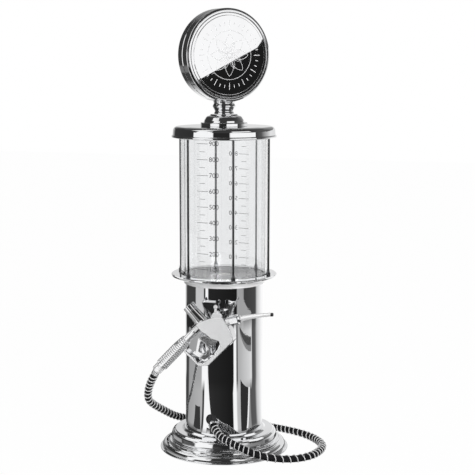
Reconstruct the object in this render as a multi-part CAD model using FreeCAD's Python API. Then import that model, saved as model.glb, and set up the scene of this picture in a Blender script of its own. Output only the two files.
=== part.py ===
import FreeCAD, Part
import math
import os

# A drink dispenser shaped like an old petrol pump: base, column, clear tank with a lid and globe,
# and a trigger gun on a hose. Millimetres, +Z up, +Y to the back, origin under the middle of the base.

V = FreeCAD.Vector
UP = V(0, 0, 1)
FRONT = V(0, -1, 0)

# ---- driving dimensions -------------------------------------------------------------------------
WALL = 1.4                 # pressed metal
RUNNING = 0.05             # radial clearance of a shaft in its hole
GAP = 0.3                  # clearance between pieces that move past each other

BASE_R = 70.0
PAD_H = 1.2
COVER_H = 1.2
WEIGHT_TOP = 12.0
SPIGOT_TOP = 32.0

COLUMN_R = 42.0
COLUMN_BORE = 40.6
COLUMN_TOP = 184.5
OUTLET_Z = 42.0
OUTLET_KNEE = V(0, -42.5, OUTLET_Z)
OUTLET_DIRECTION = V(0.55, -0.66, -0.51).normalize()
NIPPLE_R = 2.6
NIPPLE_BORE = 1.5
NIPPLE_OUT = 7.5           # from the knee to the nipple's end
FERRULE_END = 9.0          # from the knee to the face that the hose meets

COLLAR_R = 43.5
TRAY_LOW = 190.0
TRAY_R = 57.0
TRAY_TOP = 194.9

TANK_BORE = 43.9
TANK_R = 46.4
TANK_LOW = 194.8
TANK_TOP = 340.6
RING_LOW = 341.0
RING_TOP = 343.8

ROD_COUNT = 6
ROD_R = 1.2
ROD_CIRCLE = 50.0
ROD_START = 30.0           # degrees from the front, towards +X

LID_R = 56.0
LID_LOW = 341.6
LID_TOP = 353.4
PLINTH_TOP = 366.0

GLOBE_R = 49.0
GLOBE_Z = 428.0
GLOBE_TURN = 46.0          # degrees from the front, towards +X
GLOBE_FLOOR = 8.2          # from the seam to the face that carries bezel and dial
DIAL_R = 44.1
DIAL_STEP_R = 41.4          # edge of the dial's raised face
DIAL_FACE = 12.6

GUN_Y = -56.0              # middle plane of the gun
GUN_T = 12.0
TRIGGER_T = 5.2
PIVOT = (13.7, 143.9)
PIN_R = 1.0
VALVE_TIP = (6.94, 137.65)  # where the plunger meets the trigger
VALVE_LEAN = 42.4          # degrees that the valve's axis leans to the left of upright
HANDLE_START = (-12.57, 141.49)
HANDLE_LEAN = 46.4         # degrees that the handle runs below level, to the left
HANDLE_R = 4.3
GRIP_TOP_R = 5.5           # the grip swells from here
GRIP_R = 6.7               # to here
GRIP_SWELL = 16.0          # over this length
GRIP_START = 14.6
GRIP_LENGTH = 40.7
GRIP_RINGS = 15
RING_GROOVE = 0.5          # depth of the groove between two rings
COLLAR_LENGTH = 9.0
UNION_R = 5.4              # hose collar
GRIP_END = GRIP_START + GRIP_LENGTH
COLLAR_END = GRIP_END + COLLAR_LENGTH
HOSE_TAIL = V(-0.47, 0.33, -0.82).normalize()
PASSAGE_R = 1.6            # bore of the handle, collar and ferrule

HOUSING_LOW = 16.0         # these five are measured along the valve from the plunger's tip
HOUSING_TOP = 33.4
CAP_TOP = 40.4
CAP_R = 6.7
CHAMBER_LOW = 9.0
HEAD_TOP = 12.4
CHAMBER_R = 3.4
PLUNGER_R = 1.5

SPOUT_RISE = 16.0          # degrees
SPOUT_ROOT = V(26.5, GUN_Y, 154.3)
SPOUT_DIRECTION = V(math.cos(math.radians(SPOUT_RISE)), 0, math.sin(math.radians(SPOUT_RISE)))
SPOUT_BEND_R = 180.0
SPOUT_DROP = 11.0          # degrees that the tube turns down towards its end
SPOUT_WALL = 0.5

HANGER = (13.3, 158.5)     # the stud that hooks into the holster
HANGER_R = 2.6
BALL_X = 9.9

HOLSTER_X = 8.5
HOLSTER_LOW = 153.5
HOLSTER_TOP = 170.6
CHEEK_T = 1.8
CHEEK_FRONT = -49.2
LIP_BACK = -46.0
LIP_FRONT = -47.8
LEFT_CHEEK = (-6.6, -0.4)  # x at the top and at the bottom
RIGHT_CHEEK = (22.6, 20.4)

HOSE_R = 3.6               # the rubber; the wire guard round it is 1 mm thick
HOSE_ROUTE = [(4.95, -48.45, 37.41), (12.7, -57.7, 30.2), (30.0, -62.5, 25.0), (58.0, -60.5, 13.2),
              (83.0, -37.0, 4.6), (104.0, -18.0, 4.6), (109.0, 13.5, 4.6), (101.5, 35.5, 4.6),
              (77.0, 60.0, 4.6), (38.0, 73.5, 4.6), (-8.0, 80.5, 4.6), (-48.0, 77.5, 4.6),
              (-74.0, 53.0, 11.0), (-81.5, 17.5, 29.5), (-79.5, -14.5, 48.0), (-71.0, -40.0, 57.0),
              (-66.2, -49.5, 78.8), (-59.6, -54.1, 90.2)]


# ---- helpers ------------------------------------------------------------------------------------
def save(name, shape):
    shape.exportStep("parts/" + name + ".step")


def on_upright(r, z):
    return V(r, 0, z)


def eased_wire(corners, lift):
    """A closed wire through corners (a, b, radius), each corner rounded by its radius."""
    places = [lift(corner[0], corner[1]) for corner in corners]
    stops = []
    for i, here in enumerate(places):
        radius = corners[i][2]
        if radius == 0:
            stops.append((here, here, here))
            continue
        back = (places[i - 1] - here).normalize()
        ahead = (places[(i + 1) % len(places)] - here).normalize()
        half = back.getAngle(ahead) / 2
        reach = radius / math.tan(half)
        middle = (back + ahead).normalize() * (radius / math.sin(half) - radius)
        stops.append((here + back * reach, here + middle, here + ahead * reach))
    edges = []
    for i, (start, middle, end) in enumerate(stops):
        if (end - start).Length > 1e-6:
            edges.append(Part.Arc(start, middle, end).toShape())
        following = stops[(i + 1) % len(stops)][0]
        if (following - end).Length > 1e-6:
            edges.append(Part.LineSegment(end, following).toShape())
    return Part.Wire(edges)


def spun(corners):
    """Turn an outline of (radius, height, corner radius) round the upright axis."""
    face = Part.Face(eased_wire(corners, on_upright))
    return face.revolve(V(0, 0, 0), UP, 360)


def tube(outer, inner, low, high):
    wall = Part.makeCylinder(outer, high - low, V(0, 0, low))
    return wall.cut(Part.makeCylinder(inner, high - low, V(0, 0, low)))


def round_bar(radius, start, end):
    return Part.makeCylinder(radius, (end - start).Length, start, end - start)


def around(angle, radius, z):
    """The point at an angle from the front, towards +X."""
    turn = math.radians(angle)
    return V(radius * math.sin(turn), -radius * math.cos(turn), z)


def laid_along(shape, start, direction):
    """Carry a shape made about +Z to a start point, with +Z turned to a direction."""
    copy = shape.copy()
    copy.Placement = FreeCAD.Placement(start, FreeCAD.Rotation(UP, direction))
    return copy


def cap_screw(head_r, head_h, shank_r, shank_l):
    """A round-headed screw with a cross-hole drive, its shank down -Z from z = 0."""
    head = Part.makeCylinder(head_r, head_h)
    head = head.makeFillet(head_h * 0.3, [head.Edges[0]])
    head = head.cut(Part.makeCylinder(head_r * 0.45, head_h * 0.6, V(0, 0, head_h * 0.4)))
    return head.fuse(Part.makeCylinder(shank_r, shank_l, V(0, 0, -shank_l)))


def hex_nut(across, height, bore):
    corner = across / math.sqrt(3)
    points = [V(corner * math.cos(math.radians(60 * k)), corner * math.sin(math.radians(60 * k)), 0)
              for k in range(6)]
    block = Part.Face(Part.makePolygon(points + points[:1])).extrude(V(0, 0, height))
    block = block.common(Part.makeCone(corner + height, corner * 0.88, height * 1.2))
    return block.cut(Part.makeCylinder(bore, height))


# ---- base ---------------------------------------------------------------------------------------
def rest_pad():
    return Part.makeCylinder(63.0, PAD_H)


def base_shell():
    """The stepped, spun shell: flange, quarter-round tier, groove, soft shoulder and flat top."""
    return spun([
        (BASE_R, 0.8, 0.4), (BASE_R, 2.4, 0.7), (67.6, 2.7, 0.3), (66.9, 8.2, 4.6),
        (61.0, 8.9, 0.4), (60.6, 11.3, 0.8), (56.4, 11.6, 0.9), (57.9, 14.6, 2.2),
        (56.6, 20.2, 3.4), (53.6, 21.5, 0.5), (53.3, 22.4, 0.3), (45.4, 22.7, 4.0),
        (43.4, 24.4, 0.8), (COLUMN_R, 24.6, 0), (COLUMN_R, 21.3, 0), (52.4, 21.0, 0.6),
        (55.2, 19.3, 2.6), (56.4, 14.9, 1.6), (54.9, 12.9, 0.5), (54.9, 10.1, 0.4),
        (59.4, 9.9, 0.4), (59.4, 7.6, 0.4), (65.3, 6.9, 3.0), (66.1, 2.0, 0), (68.6, 1.5, 0),
        (68.6, 0.8, 0)])


def base_weight():
    """Cast ballast disc with the spigot that the column tube is pressed on."""
    low = PAD_H + COVER_H
    body = spun([(54.4, low, 0.8), (54.4, WEIGHT_TOP, 0.8), (COLUMN_BORE, WEIGHT_TOP, 0),
                 (COLUMN_BORE, SPIGOT_TOP, 1.5), (0, SPIGOT_TOP, 0), (0, low, 0)])
    for k in range(4):
        body = body.cut(Part.makeCylinder(1.6, 9, around(45 + 90 * k, 34, low)))
    return body


def base_cover():
    low = PAD_H
    cover = Part.makeCylinder(65.6, COVER_H, V(0, 0, low))
    for k in range(4):
        place = around(45 + 90 * k, 34, low)
        cover = cover.cut(Part.makeCone(3.4, 2.0, COVER_H, place))
    return cover


def base_screws():
    """Four countersunk screws up through the cover into the weight."""
    screws = []
    for k in range(4):
        place = around(45 + 90 * k, 34, PAD_H)
        head = Part.makeCone(3.4, 2.0, COVER_H, place)
        slot = Part.makeBox(5, 0.8, 0.5, place - V(2.5, 0.4, 0))
        shank = Part.makeCylinder(1.6, 8, place + V(0, 0, COVER_H))
        screws.append(head.cut(slot).fuse(shank))
    return Part.makeCompound(screws)


# ---- column -------------------------------------------------------------------------------------
def holster_screw_places():
    angle = math.degrees(math.asin(HOLSTER_X / COLUMN_R))
    return [(angle, z) for z in (157.5, 166.5)]


def column_tube():
    column = tube(COLUMN_R, COLUMN_BORE, WEIGHT_TOP, COLUMN_TOP)
    column = column.cut(Part.makeCylinder(4.4, 10, V(0, -47, OUTLET_Z), V(0, 1, 0)))
    for angle, z in holster_screw_places():
        column = column.cut(round_bar(1.25, around(angle, 38, z), around(angle, 46, z)))
    return column


def column_collar():
    """The ring that plugs into the column's top and carries the tray."""
    return spun([(COLUMN_BORE, 176, 0.6), (COLUMN_BORE, COLUMN_TOP, 0), (COLLAR_R, COLUMN_TOP, 0.4),
                 (COLLAR_R, TRAY_LOW, 0.4), (20, TRAY_LOW, 0), (20, TRAY_LOW - 2.5, 0),
                 (37.5, TRAY_LOW - 2.5, 1.5), (38.6, 176, 0)]).cut(tray_screw_holes())


def tray_screw_holes():
    return Part.makeCompound([Part.makeCylinder(1.5, 7, around(60 + 120 * k, 28, TRAY_LOW - 4))
                              for k in range(3)])


def tray():
    """The dished disc under the tank, its floor falling to the drain in the middle."""
    body = spun([
        (4.2, TRAY_LOW, 0), (43.2, TRAY_LOW, 0.3), (53.6, 191.1, 3), (56.8, 192.6, 0.5),
        (TRAY_R, 194.2, 0.6), (56.0, TRAY_TOP, 0.4), (47.3, TRAY_TOP, 0), (47.3, 193.6, 0),
        (43.2, 193.6, 0), (43.2, 194.7, 0.3), (7.5, 193.4, 0.8), (7.5, 192.6, 0), (4.2, 192.6, 0)])
    for k in range(3):
        body = body.cut(Part.makeCylinder(1.2, 2.4, around(60 + 120 * k, 28, TRAY_LOW)))
    for k in range(ROD_COUNT):
        place = around(ROD_START + 60 * k, ROD_CIRCLE, 186)
        body = body.cut(Part.makeCylinder(0.75, 12, place))
        body = body.cut(Part.makeCylinder(1.9, 192.4 - 186, place))
    return body


def tray_screws():
    """Three screws up through the collar's web into the tray."""
    head_low = TRAY_LOW - 2.5
    screw = cap_screw(2.6, 1.6, 1.2, 4.6)
    return Part.makeCompound([laid_along(screw, around(60 + 120 * k, 28, head_low), V(0, 0, -1))
                              for k in range(3)])


def drain_fitting():
    """Flanged, threaded tail through the tray's middle, with a barb for the feed tube."""
    return spun([(1.8, 170, 0), (2.5, 170, 0), (3.2, 172.5, 0), (2.6, 173, 0), (3.2, 175.5, 0),
                 (2.6, 176, 0), (2.6, 178, 0), (4.1, 178, 0), (4.1, 192.9, 0), (7.2, 192.9, 0),
                 (7.2, 193.5, 0.3), (3.0, 193.5, 0.3), (1.8, 192.5, 0)])


def drain_seal():
    return tube(7.4, 4.2, 192.6, 192.9)


def drain_nut():
    nut = hex_nut(14.0, 4.5, 4.1)
    nut.translate(V(0, 0, TRAY_LOW - 4.5))
    return nut


def feed_tube():
    """Soft tube from the drain's barb down the column and round to the outlet nipple."""
    bend = 20.0
    top = V(0, 0, 176)
    corner = V(0, 0, OUTLET_Z)
    leave = corner + UP * bend
    meet = corner + FRONT * bend
    middle = corner + (UP + FRONT) * bend * (1 - math.sqrt(0.5))
    path = Part.Wire([Part.LineSegment(top, leave).toShape(), Part.Arc(leave, middle, meet).toShape(),
                      Part.LineSegment(meet, V(0, -32, OUTLET_Z)).toShape()])
    outer = path.makePipeShell([Part.Wire(Part.makeCircle(4.4, top, UP))], True, False)
    inner = path.makePipeShell([Part.Wire(Part.makeCircle(3.2, top, UP))], True, False)
    return outer.cut(inner)


# ---- tank ---------------------------------------------------------------------------------------
def tank():
    body = tube(TANK_R, TANK_BORE, TANK_LOW, TANK_TOP)
    ends = [edge for edge in body.Edges if edge.Curve.TypeId == "Part::GeomCircle"]
    return body.makeChamfer(0.3, ends)


def tank_lower_gasket():
    return tube(47.2, 43.3, 193.6, TANK_LOW)


def tank_upper_gasket():
    return tube(47.2, 43.5, TANK_TOP, TANK_TOP + 1.0)


def top_ring():
    """The ring that clamps the tank: gasket groove under it, and a blind hole for each rod."""
    body = spun([(43.5, TANK_TOP + 1.0, 0), (43.5, RING_TOP, 0.5), (53.2, RING_TOP, 0.8),
                 (53.2, RING_LOW, 0.4), (47.3, RING_LOW, 0), (47.3, TANK_TOP + 1.0, 0)])
    for k in range(ROD_COUNT):
        place = around(ROD_START + 60 * k, ROD_CIRCLE, RING_LOW)
        body = body.cut(Part.makeCylinder(0.9, 1.8, place))
    return body


def rod():
    """A slim rod with a turned foot, a tapped lower end and a spigot at the top."""
    body = spun([(0, TRAY_TOP, 0), (2.3, TRAY_TOP, 0.3), (2.3, 197.2, 0.5), (1.7, 197.8, 0.2),
                 (1.5, 199.6, 0.3), (ROD_R, 200.4, 0), (ROD_R, RING_LOW, 0), (0.9, RING_LOW, 0),
                 (0.9, 342.6, 0.2), (0, 342.6, 0)])
    return body.cut(Part.makeCylinder(0.75, 6, V(0, 0, TRAY_TOP)))


def rod_screws():
    """One small screw under the tray for each rod."""
    screw = cap_screw(1.6, 1.0, 0.75, 7.5)
    return Part.makeCompound([
        laid_along(screw, around(ROD_START + 60 * k, ROD_CIRCLE, 192.4), V(0, 0, -1))
        for k in range(ROD_COUNT)])


# ---- lid ----------------------------------------------------------------------------------------
def lid_shell():
    """Pressed dome with a rolled lip, open below to drop over the top ring."""
    return spun([
        (LID_R, LID_LOW, 0.5), (LID_R, 343.5, 0.8), (54.9, 344.0, 0.3), (54.2, 352.8, 4.6),
        (47.0, LID_TOP, 4.0), (2.1, LID_TOP, 0), (2.1, LID_TOP - WALL, 0), (46.8, 352.0, 3.0),
        (52.7, 351.3, 3.4), (53.4, 345.4, 0.5), (54.6, 344.6, 0.3), (54.6, LID_LOW, 0)])


def lid_liner():
    """Food-safe inner cap with a boss up to the dome."""
    return spun([(2.1, 344.8, 0), (52.2, 344.8, 0.4), (52.2, 346.2, 0.5), (8.0, 346.2, 1.0),
                 (7.0, 352.0, 0), (2.1, 352.0, 0)])


def lid_seal():
    return tube(51.0, 45.0, RING_TOP + GAP, 344.8)


def lid_plinth():
    """Ring and bell that the globe's stem stands on."""
    return spun([(25.0, LID_TOP, 0.3), (25.0, 357.1, 0.7), (21.8, 357.4, 0.3), (21.2, 359.4, 2.0),
                 (18.6, 363.6, 3.5), (14.9, 364.7, 0.4), (14.5, PLINTH_TOP, 0.5),
                 (2.1, PLINTH_TOP, 0), (2.1, LID_TOP, 0)])


def stem_screw():
    """Shouldered screw from under the lid: the globe's stem turns on it."""
    return spun([(0, 342.4, 0), (3.6, 342.4, 0.8), (3.6, 344.8, 0), (2.1, 344.8, 0),
                 (2.1, PLINTH_TOP, 0), (1.95, PLINTH_TOP, 0), (1.95, 376.5, 0.3), (0, 376.5, 0)])


def stem_nut():
    nut = hex_nut(7.0, 3.0, 1.95)
    nut.translate(V(0, 0, 372.1))
    return nut


# ---- globe --------------------------------------------------------------------------------------
def globe_axis(side):
    turn = math.radians(GLOBE_TURN)
    return V(math.sin(turn), -math.cos(turn), 0) * side


def globe_stem():
    """Turned neck: waist, bead and a top hollowed to the globe's rim."""
    body = spun([(10.6, PLINTH_TOP + GAP, 0.4), (10.6, 367.4, 0.3), (9.5, 369.0, 1.6),
                 (12.4, 374.5, 2.2), (10.8, 377.4, 0.9), (12.6, 384.0, 0), (4.6, 384.0, 0),
                 (4.6, 371.8, 0), (2.0, 371.8, 0), (2.0, PLINTH_TOP + GAP, 0)])
    middle = V(0, 0, GLOBE_Z)
    return body.cut(round_bar(GLOBE_R, middle + globe_axis(-30), middle + globe_axis(30)))


def globe_shell(side):
    """Half of the globe: rim wall, floor behind the dial and three screw bosses."""
    body = spun([(GLOBE_R - 0.8, 0, 0), (GLOBE_R, 0.8, 0.2), (GLOBE_R, GLOBE_FLOOR, 0),
                 (0, GLOBE_FLOOR, 0), (0, GLOBE_FLOOR - WALL, 0),
                 (GLOBE_R - 2.0, GLOBE_FLOOR - WALL, 1.5), (GLOBE_R - 2.0, 0, 0)])
    for k in range(3):
        place = around(120 * k, 30, 0)
        body = body.fuse(Part.makeCylinder(3.2, GLOBE_FLOOR - WALL, place))
    bore = 1.25 if side > 0 else 1.5
    for k in range(3):
        # about the globe's own axis the two halves face each other, so one is set out mirrored
        place = around(120 * k * side, 30, 0)
        depth = GLOBE_FLOOR - 0.8 if side > 0 else GLOBE_FLOOR
        body = body.cut(Part.makeCylinder(bore, depth, place))
    return seated_on_globe(body.removeSplitter(), side)


def seated_on_globe(shape, side):
    """Carry a piece made about +Z onto the globe, its +Z out of the front or the rear face."""
    face = FreeCAD.Rotation(V(1, 0, 0), 90) if side > 0 else FreeCAD.Rotation(V(1, 0, 0), -90)
    turn = FreeCAD.Rotation(UP, GLOBE_TURN)
    copy = shape.copy()
    copy.Placement = FreeCAD.Placement(V(0, 0, GLOBE_Z), turn.multiply(face))
    return copy


def globe_screws():
    """Three screws from the rear half into the front half, hidden by the rear dial."""
    screw = cap_screw(2.6, 2.0, 1.25, 2 * GLOBE_FLOOR - 1.6)
    places = [around(-120 * k, 30, GLOBE_FLOOR) for k in range(3)]
    group = Part.makeCompound([laid_along(screw, place, UP) for place in places])
    return seated_on_globe(group, -1)


def globe_bezel(side):
    body = spun([(GLOBE_R, GLOBE_FLOOR, 0), (GLOBE_R, 10.4, 1.4), (46.9, 12.0, 1.3),
                 (44.6, 12.0, 0.6), (44.2, 10.9, 0), (44.2, GLOBE_FLOOR, 0)])
    return seated_on_globe(body, side)


def globe_dial(side):
    """Shallow cap with a ledge round its raised face."""
    ledge = DIAL_FACE - 0.9
    body = spun([(DIAL_R, GLOBE_FLOOR, 0), (DIAL_R, ledge, 0.3), (DIAL_STEP_R + 0.3, ledge, 0.1),
                 (DIAL_STEP_R, DIAL_FACE, 0.3), (0, DIAL_FACE, 0), (0, ledge - WALL, 0),
                 (42.6, ledge - WALL, 0.5), (42.9, GLOBE_FLOOR, 0)])
    return seated_on_globe(body, side)


# ---- holster ------------------------------------------------------------------------------------
def slanted_block(top, low, front, depth):
    """A block between two x values at the holster's top and two at its bottom."""
    outline = [V(top[0], front, HOLSTER_TOP), V(top[1], front, HOLSTER_TOP),
               V(low[1], front, HOLSTER_LOW), V(low[0], front, HOLSTER_LOW)]
    return Part.Face(Part.makePolygon(outline + outline[:1])).extrude(V(0, depth, 0))


def cheek(line):
    """A slanted side wall of the holster, from the column forward."""
    half = CHEEK_T / 2
    return slanted_block((line[0] - half, line[0] + half), (line[1] - half, line[1] + half),
                         CHEEK_FRONT, 20)


def holster_wedge(margin):
    """The space between the cheeks, wider by a margin on each side."""
    return slanted_block((LEFT_CHEEK[0] - margin, RIGHT_CHEEK[0] + margin),
                         (LEFT_CHEEK[1] - margin, RIGHT_CHEEK[1] + margin), -60, 50)


def holster():
    """Cast cradle: saddle on the column, two cheeks, and a lip with an open slot for the hanger."""
    saddle = tube(COLUMN_R + 2.2, COLUMN_R, HOLSTER_LOW, HOLSTER_TOP).common(holster_wedge(2.0))
    lip = Part.makeBox(40, LIP_BACK - LIP_FRONT, HOLSTER_TOP - HOLSTER_LOW,
                       V(-10, LIP_FRONT, HOLSTER_LOW)).common(holster_wedge(0))
    slot_r = HANGER_R + 0.4
    slot = round_bar(slot_r, V(HANGER[0], -55, HANGER[1]), V(HANGER[0], -45, HANGER[1]))
    slot = slot.fuse(Part.makeBox(2 * slot_r, 10, 20, V(HANGER[0] - slot_r, -55, HANGER[1])))
    cheeks = cheek(LEFT_CHEEK).fuse(cheek(RIGHT_CHEEK))
    cheeks = cheeks.cut(Part.makeCylinder(COLUMN_R, 60, V(0, 0, 130)))
    cheeks = cheeks.common(Part.makeBox(80, 60, 60, V(-40, -60, 130)))
    body = saddle.fuse([lip.cut(slot), cheeks]).removeSplitter()
    for angle, z in holster_screw_places():
        body = body.cut(round_bar(1.25, around(angle, 40, z), around(angle, 43.8, z)))
    return body


def holster_screws():
    """Two screws from inside the column into the saddle."""
    screw = cap_screw(2.6, 1.6, 1.25, 3.0)
    screws = []
    for angle, z in holster_screw_places():
        outward = around(angle, 1, 0)
        screws.append(laid_along(screw, around(angle, COLUMN_BORE - 0.1, z), outward * -1))
    return Part.makeCompound(screws)


# ---- outlet -------------------------------------------------------------------------------------
def outlet_grommet():
    """Rubber bush in the column's outlet hole, with a domed collar outside."""
    body = Part.makeCylinder(4.4, 3.2, V(0, -42.6, OUTLET_Z), V(0, 1, 0))
    dome = Part.makeSphere(6.2, V(0, -40.6, OUTLET_Z))
    dome = dome.cut(Part.makeCylinder(COLUMN_R, 40, V(0, 0, 20)))
    dome = dome.common(Part.makeBox(20, 20, 20, V(-10, -60, OUTLET_Z - 10)))
    return body.fuse(dome).removeSplitter().cut(nipple_bar(NIPPLE_R))


def nipple_bar(radius):
    """The nipple's line as a round bar: straight through the bush, then bent towards the hose."""
    inside = round_bar(radius, V(0, -29, OUTLET_Z), OUTLET_KNEE)
    outside = round_bar(radius, OUTLET_KNEE, OUTLET_KNEE + OUTLET_DIRECTION * NIPPLE_OUT)
    return inside.fuse([Part.makeSphere(radius, OUTLET_KNEE), outside]).removeSplitter()


def outlet_nipple():
    """Bent metal tube through the grommet."""
    return nipple_bar(NIPPLE_R).cut(nipple_bar(NIPPLE_BORE))


def outlet_ferrule():
    """Crimped sleeve over the nipple: the hose starts at its end."""
    sleeve = spun([(NIPPLE_R, 5.3, 0), (4.2, 5.3, 0.5), (5.0, 6.4, 0.4), (5.0, FERRULE_END, 0.4),
                   (NIPPLE_BORE, FERRULE_END, 0), (NIPPLE_BORE, NIPPLE_OUT, 0),
                   (NIPPLE_R, NIPPLE_OUT, 0)])
    return laid_along(sleeve, OUTLET_KNEE, OUTLET_DIRECTION)


# ---- gun ----------------------------------------------------------------------------------------
def gun_point(x, z):
    return V(x, GUN_Y - GUN_T / 2, z)


def trigger_point(x, z):
    return V(x, GUN_Y - TRIGGER_T / 2, z)


def valve_up():
    lean = math.radians(VALVE_LEAN)
    return V(-math.sin(lean), 0, math.cos(lean))


def on_valve(distance):
    """A point on the valve's axis, measured from the plunger's tip towards the cap."""
    return V(VALVE_TIP[0], GUN_Y, VALVE_TIP[1]) + valve_up() * distance


def handle_down():
    lean = math.radians(HANDLE_LEAN)
    return V(-math.cos(lean), 0, -math.sin(lean))


def on_handle(distance):
    return V(HANDLE_START[0], GUN_Y, HANDLE_START[1]) + handle_down() * distance


def gun_plate():
    """The flat body with its trigger guard swept round to the handle."""
    outline = [
        (-10.4, 148.0, 1.2), (-7.4, 151.4, 1.5), (7.5, 157.5, 2.0), (19.1, 158.9, 2.0), (27.5, 146.4, 8.0),
        (31.6, 134.8, 4.5), (3.8, 106.0, 4.5), (-7.8, 104.6, 3.5), (-23.7, 118.9, 1.2),
        (-21.9, 120.9, 1.2), (-13.4, 114.3, 3.0), (-7.6, 108.2, 2.2), (-2.6, 108.2, 2.2),
        (5.0, 113.6, 5.0), (11.6, 120.1, 4.0), (17.3, 127.9, 2.6), (15.2, 133.2, 1.5),
        (6.0, 135.4, 1.5), (1.0, 139.6, 1.5), (-3.4, 141.2, 1.5)]
    plate = Part.Face(eased_wire(outline, gun_point)).extrude(V(0, GUN_T, 0))
    rims = [edge for edge in plate.Edges
            if abs(edge.BoundBox.YMax - edge.BoundBox.YMin) < 1e-6]
    return plate.makeFillet(0.8, rims)


def gun_neck():
    outline = [(6.4, 154.0, 0), (6.4, 158.0, 0.5), (8.6, 162.3, 1.0), (17.8, 162.3, 1.0), (19.4, 154.0, 0)]
    neck = Part.Face(eased_wire(outline, gun_point)).extrude(V(0, GUN_T, 0))
    return neck.common(Part.makeBox(30, GUN_T - 1.5, 20, V(0, GUN_Y - GUN_T / 2 + 1.5, 150)))


def valve_housing():
    """Forged taper from the plate's edge to the round seat of the cap."""
    low = on_valve(HOUSING_LOW)
    across = V(math.cos(math.radians(VALVE_LEAN)), 0, math.sin(math.radians(VALVE_LEAN)))
    top = on_valve(HOUSING_TOP)
    ellipse = Part.Ellipse(low + across * 7.3, low + V(0, 5.8, 0), low)
    circle = Part.Circle(top, valve_up(), CAP_R - 0.4)
    return Part.makeLoft([Part.Wire(ellipse.toShape()), Part.Wire(circle.toShape())], True)


def pivot_bar(radius, front, back):
    return round_bar(radius, V(PIVOT[0], front, PIVOT[1]), V(PIVOT[0], back, PIVOT[1]))


def trigger_slot():
    """The slot that the trigger swings in."""
    outline = [(1.0, 132.0), (2.0, 139.2), (6.0, 143.4), (9.0, 149.2), (18.8, 149.2), (18.8, 128.0)]
    side = TRIGGER_T / 2 + GAP
    points = [V(x, GUN_Y - side, z) for x, z in outline]
    return Part.Face(Part.makePolygon(points + points[:1])).extrude(V(0, 2 * side, 0))


def gun_body():
    """Plate, neck, valve housing and bosses in one casting, bored for the valve and the drink."""
    handle_boss = round_bar(HANDLE_R + 0.9, on_handle(-7), on_handle(-0.5))
    spout_boss = round_bar(4.4, SPOUT_ROOT - SPOUT_DIRECTION * 6, SPOUT_ROOT)
    body = gun_plate().fuse([gun_neck(), valve_housing(), handle_boss, spout_boss])
    body = body.cut(round_bar(CHAMBER_R, on_valve(CHAMBER_LOW), on_valve(HOUSING_TOP)))
    body = body.cut(round_bar(PLUNGER_R + RUNNING, on_valve(-3), on_valve(CHAMBER_LOW)))
    body = body.cut(round_bar(HANDLE_R, on_handle(-4.5), on_handle(2)))
    body = body.cut(round_bar(PASSAGE_R, on_handle(-4.5), on_valve(20)))
    body = body.cut(round_bar(PASSAGE_R, on_valve(11), SPOUT_ROOT))
    body = body.cut(round_bar(2.6, SPOUT_ROOT - SPOUT_DIRECTION * 4, SPOUT_ROOT + SPOUT_DIRECTION))
    body = body.cut(trigger_slot())
    body = body.cut(pivot_bar(PIN_R, GUN_Y - 4.5, GUN_Y + GUN_T))
    body = body.cut(round_bar(1.6, V(HANGER[0], GUN_Y + 7, HANGER[1]), V(HANGER[0], GUN_Y, HANGER[1])))
    body = body.cut(Part.makeCylinder(1.1, 4, V(BALL_X, GUN_Y, 159.0)))
    return body


def valve_cap():
    """Screwed cap with a grooved band, hollow for the spring."""
    low = HOUSING_TOP
    high = CAP_TOP
    body = spun([(0, high - 2.0, 0), (2.6, high - 2.0, 0), (2.6, low - 3, 0), (CHAMBER_R, low - 3, 0),
                 (CHAMBER_R, low, 0), (CAP_R, low, 0.3), (CAP_R, low + 1.4, 0.3),
                 (CAP_R - 0.5, low + 1.5, 0), (CAP_R - 0.5, low + 2.1, 0), (CAP_R - 0.1, low + 2.2, 0.2),
                 (CAP_R - 0.1, high, 0.5), (0, high, 0)])
    return laid_along(body, on_valve(0), valve_up())


def valve_plunger():
    """Stem that the trigger pushes, with the valve head on it."""
    body = spun([(0, 0.1, 0), (PLUNGER_R, 0.1, 1.2), (PLUNGER_R, 10.6, 0), (2.8, 10.6, 0.2),
                 (2.8, HEAD_TOP - 0.2, 0.3), (1.2, HEAD_TOP, 0), (1.2, 17.0, 0.3), (0, 17.0, 0)])
    return laid_along(body, on_valve(0), valve_up())


def valve_seal():
    ring = Part.makeTorus(2.4, 0.7)
    ring = ring.cut(Part.makeCylinder(PLUNGER_R + RUNNING, 4, V(0, 0, -2)))
    return laid_along(ring, on_valve(CHAMBER_LOW + 0.7), valve_up())


def valve_spring():
    """Light coil spring between the valve head and the cap."""
    wire_r = 0.3
    mean_r = 2.0
    low = HEAD_TOP + 0.5
    high = CAP_TOP - 2.4
    turns = 8
    helix = Part.makeHelix((high - low) / turns, high - low, mean_r)
    section = Part.Wire(Part.makeCircle(wire_r, V(mean_r, 0, 0), V(0, 1, 0)))
    coil = Part.Wire(helix.Edges).makePipeShell([section], True, True)
    return laid_along(coil, on_valve(low), valve_up())


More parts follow.
